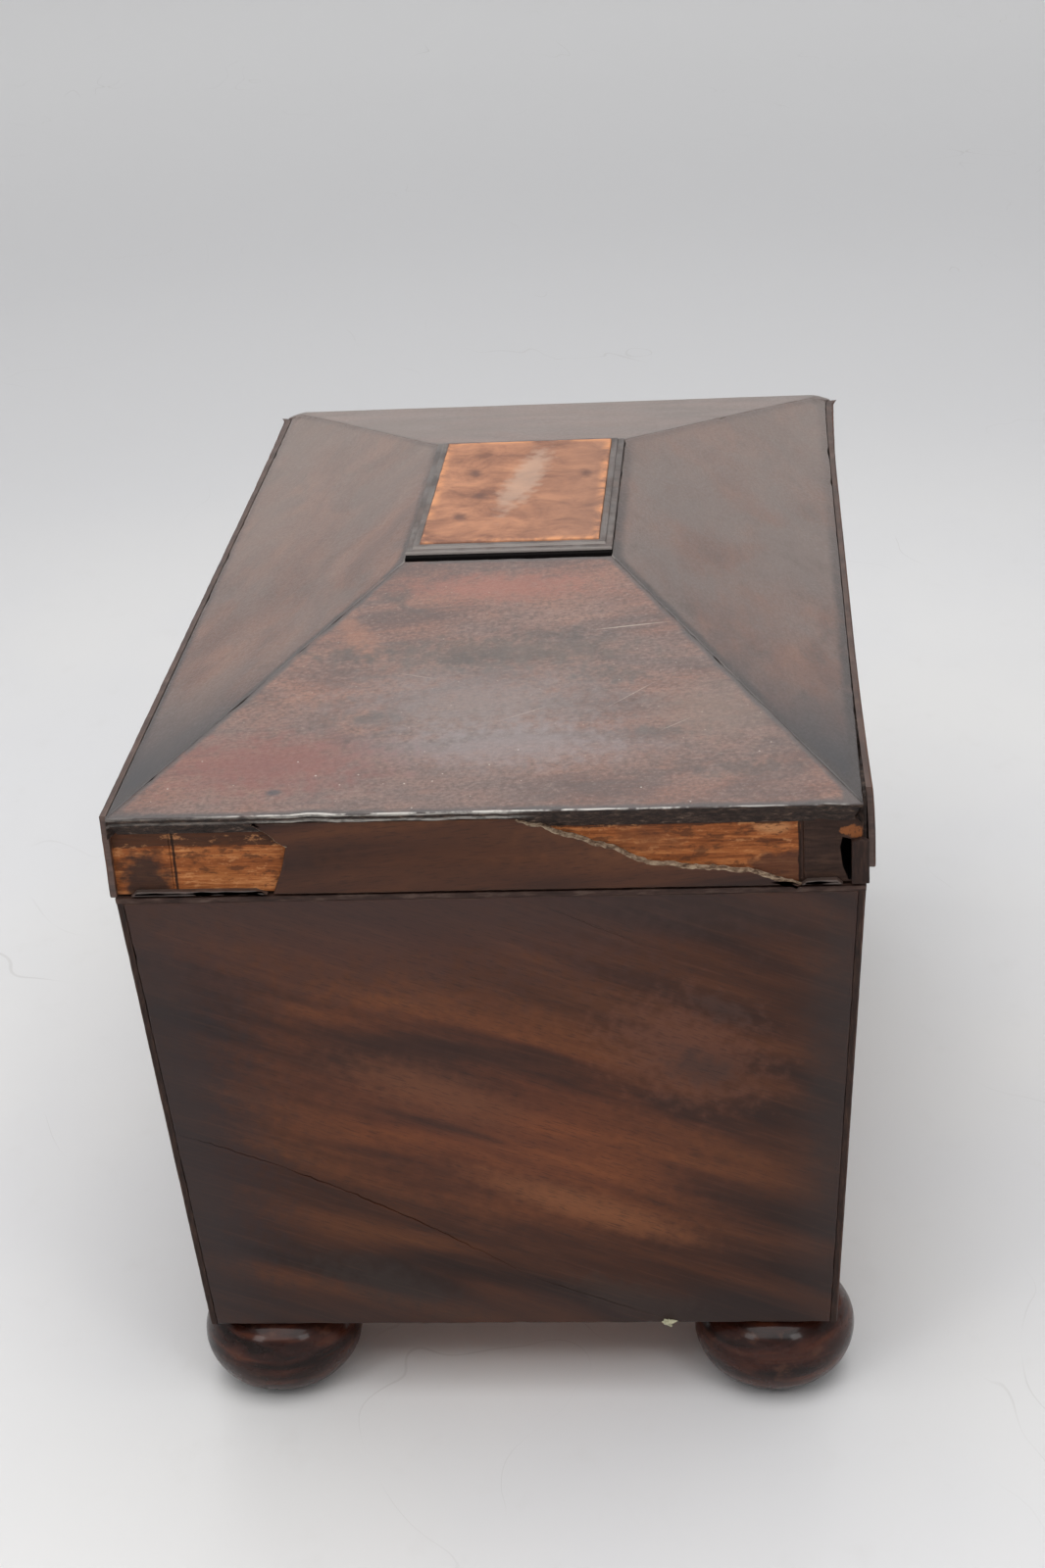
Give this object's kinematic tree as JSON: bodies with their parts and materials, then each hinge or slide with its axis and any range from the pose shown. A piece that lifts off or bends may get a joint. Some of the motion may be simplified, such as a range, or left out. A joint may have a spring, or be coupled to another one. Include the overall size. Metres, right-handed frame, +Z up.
{
  "type": "tea caddy",
  "caption": "Sarcophagus-shaped veneered wooden tea caddy on turned bun feet, with a hipped lid, a low tablet, lidded inner compartments, hinges and a box lock.",
  "frame": {"origin": "on the surface the caddy stands on, under the middle of the case", "axes": "+X along the length towards the right end, +Y towards the hinged back, +Z up"},
  "size_m": [0.2224, 0.135, 0.1479],
  "materials": {
    "pine_core": "bare, dry",
    "flame_mahogany": "worn french polish, satin",
    "plain_mahogany": "oiled, matt",
    "dark_moulding": "worn french polish, satin",
    "turned_mahogany": "french polish, glossy",
    "lining_foil": "dull, creased tinned lead foil",
    "old_brass": "aged, satin",
    "spring_steel": "blued, satin",
    "bare_tablet": "bare, dry, with old glue",
    "bone": "polished bone"
  },
  "bodies": {
    "case": {"front_board": "pine_core", "back_board": "pine_core", "left_end_board": "pine_core", "right_end_board": "pine_core", "bottom_board": "pine_core", "front_veneer": "flame_mahogany", "back_veneer": "flame_mahogany", "left_end_veneer": "flame_mahogany", "right_end_veneer": "flame_mahogany", "front_lining": "plain_mahogany", "back_lining": "plain_mahogany", "left_lining": "plain_mahogany", "right_lining": "plain_mahogany", "partition_board": "plain_mahogany", "top_edge_banding": "dark_moulding", "partition_rail": "dark_moulding", "front_left_foot": "turned_mahogany", "front_right_foot": "turned_mahogany", "back_left_foot": "turned_mahogany", "back_right_foot": "turned_mahogany", "left_foil_lining": "lining_foil", "right_foil_lining": "lining_foil", "lock_case": "old_brass", "lock_cap": "old_brass", "lock_drill_pin": "old_brass", "keyhole_escutcheon": "old_brass", "case_screws": "old_brass", "left_hinge_case_leaf": "old_brass", "right_hinge_case_leaf": "old_brass", "hinge_pins": "old_brass"},
    "lid": {"lid_front_rim_board": "pine_core", "lid_back_rim_board": "pine_core", "lid_left_rim_board": "pine_core", "lid_right_rim_board": "pine_core", "lid_front_rim_veneer": "flame_mahogany", "lid_back_rim_veneer": "flame_mahogany", "lid_left_rim_veneer": "flame_mahogany", "lid_right_rim_veneer": "flame_mahogany", "lid_front_slope": "flame_mahogany", "lid_back_slope": "flame_mahogany", "lid_left_slope": "flame_mahogany", "lid_right_slope": "flame_mahogany", "lid_top_board": "dark_moulding", "tablet_fillet": "dark_moulding", "tablet_moulding": "dark_moulding", "tablet_block": "bare_tablet", "lid_lining_panel": "plain_mahogany", "strike_plate": "old_brass", "lid_screws": "old_brass", "left_hinge_lid_leaf": "old_brass", "right_hinge_lid_leaf": "old_brass"},
    "lock_bolt": {"lock_bolt": "old_brass", "lock_spring": "spring_steel"},
    "left_inner_lid": {"left_inner_lid_board": "plain_mahogany", "left_inner_lid_knob": "bone", "left_inner_lid_pivots": "old_brass"},
    "right_inner_lid": {"right_inner_lid_board": "plain_mahogany", "right_inner_lid_knob": "bone", "right_inner_lid_pivots": "old_brass"}
  },
  "joints": [
    {"name": "lid_hinge", "type": "hinge", "parent": "case", "child": "lid", "pos_m": [0, 0.0663, 0.1138], "axis": [-1, 0, 0], "range_deg": [0, 100]},
    {"name": "left_inner_lid_hinge", "type": "hinge", "parent": "case", "child": "left_inner_lid", "pos_m": [-0.0503, 0.05157, 0.11035], "axis": [-1, 0, 0], "range_deg": [0, 90]},
    {"name": "right_inner_lid_hinge", "type": "hinge", "parent": "case", "child": "right_inner_lid", "pos_m": [0.0503, 0.05157, 0.11035], "axis": [-1, 0, 0], "range_deg": [0, 90]},
    {"name": "lock_bolt_slide", "type": "slide", "parent": "case", "child": "lock_bolt", "axis": [1, 0, 0], "range_m": [0, 0.005]}
  ],
  "couplings": [
    {"joint": "left_inner_lid_hinge", "follows": "lid_hinge", "ratio": 0.9},
    {"joint": "right_inner_lid_hinge", "follows": "lid_hinge", "ratio": 0.9}
  ]
}
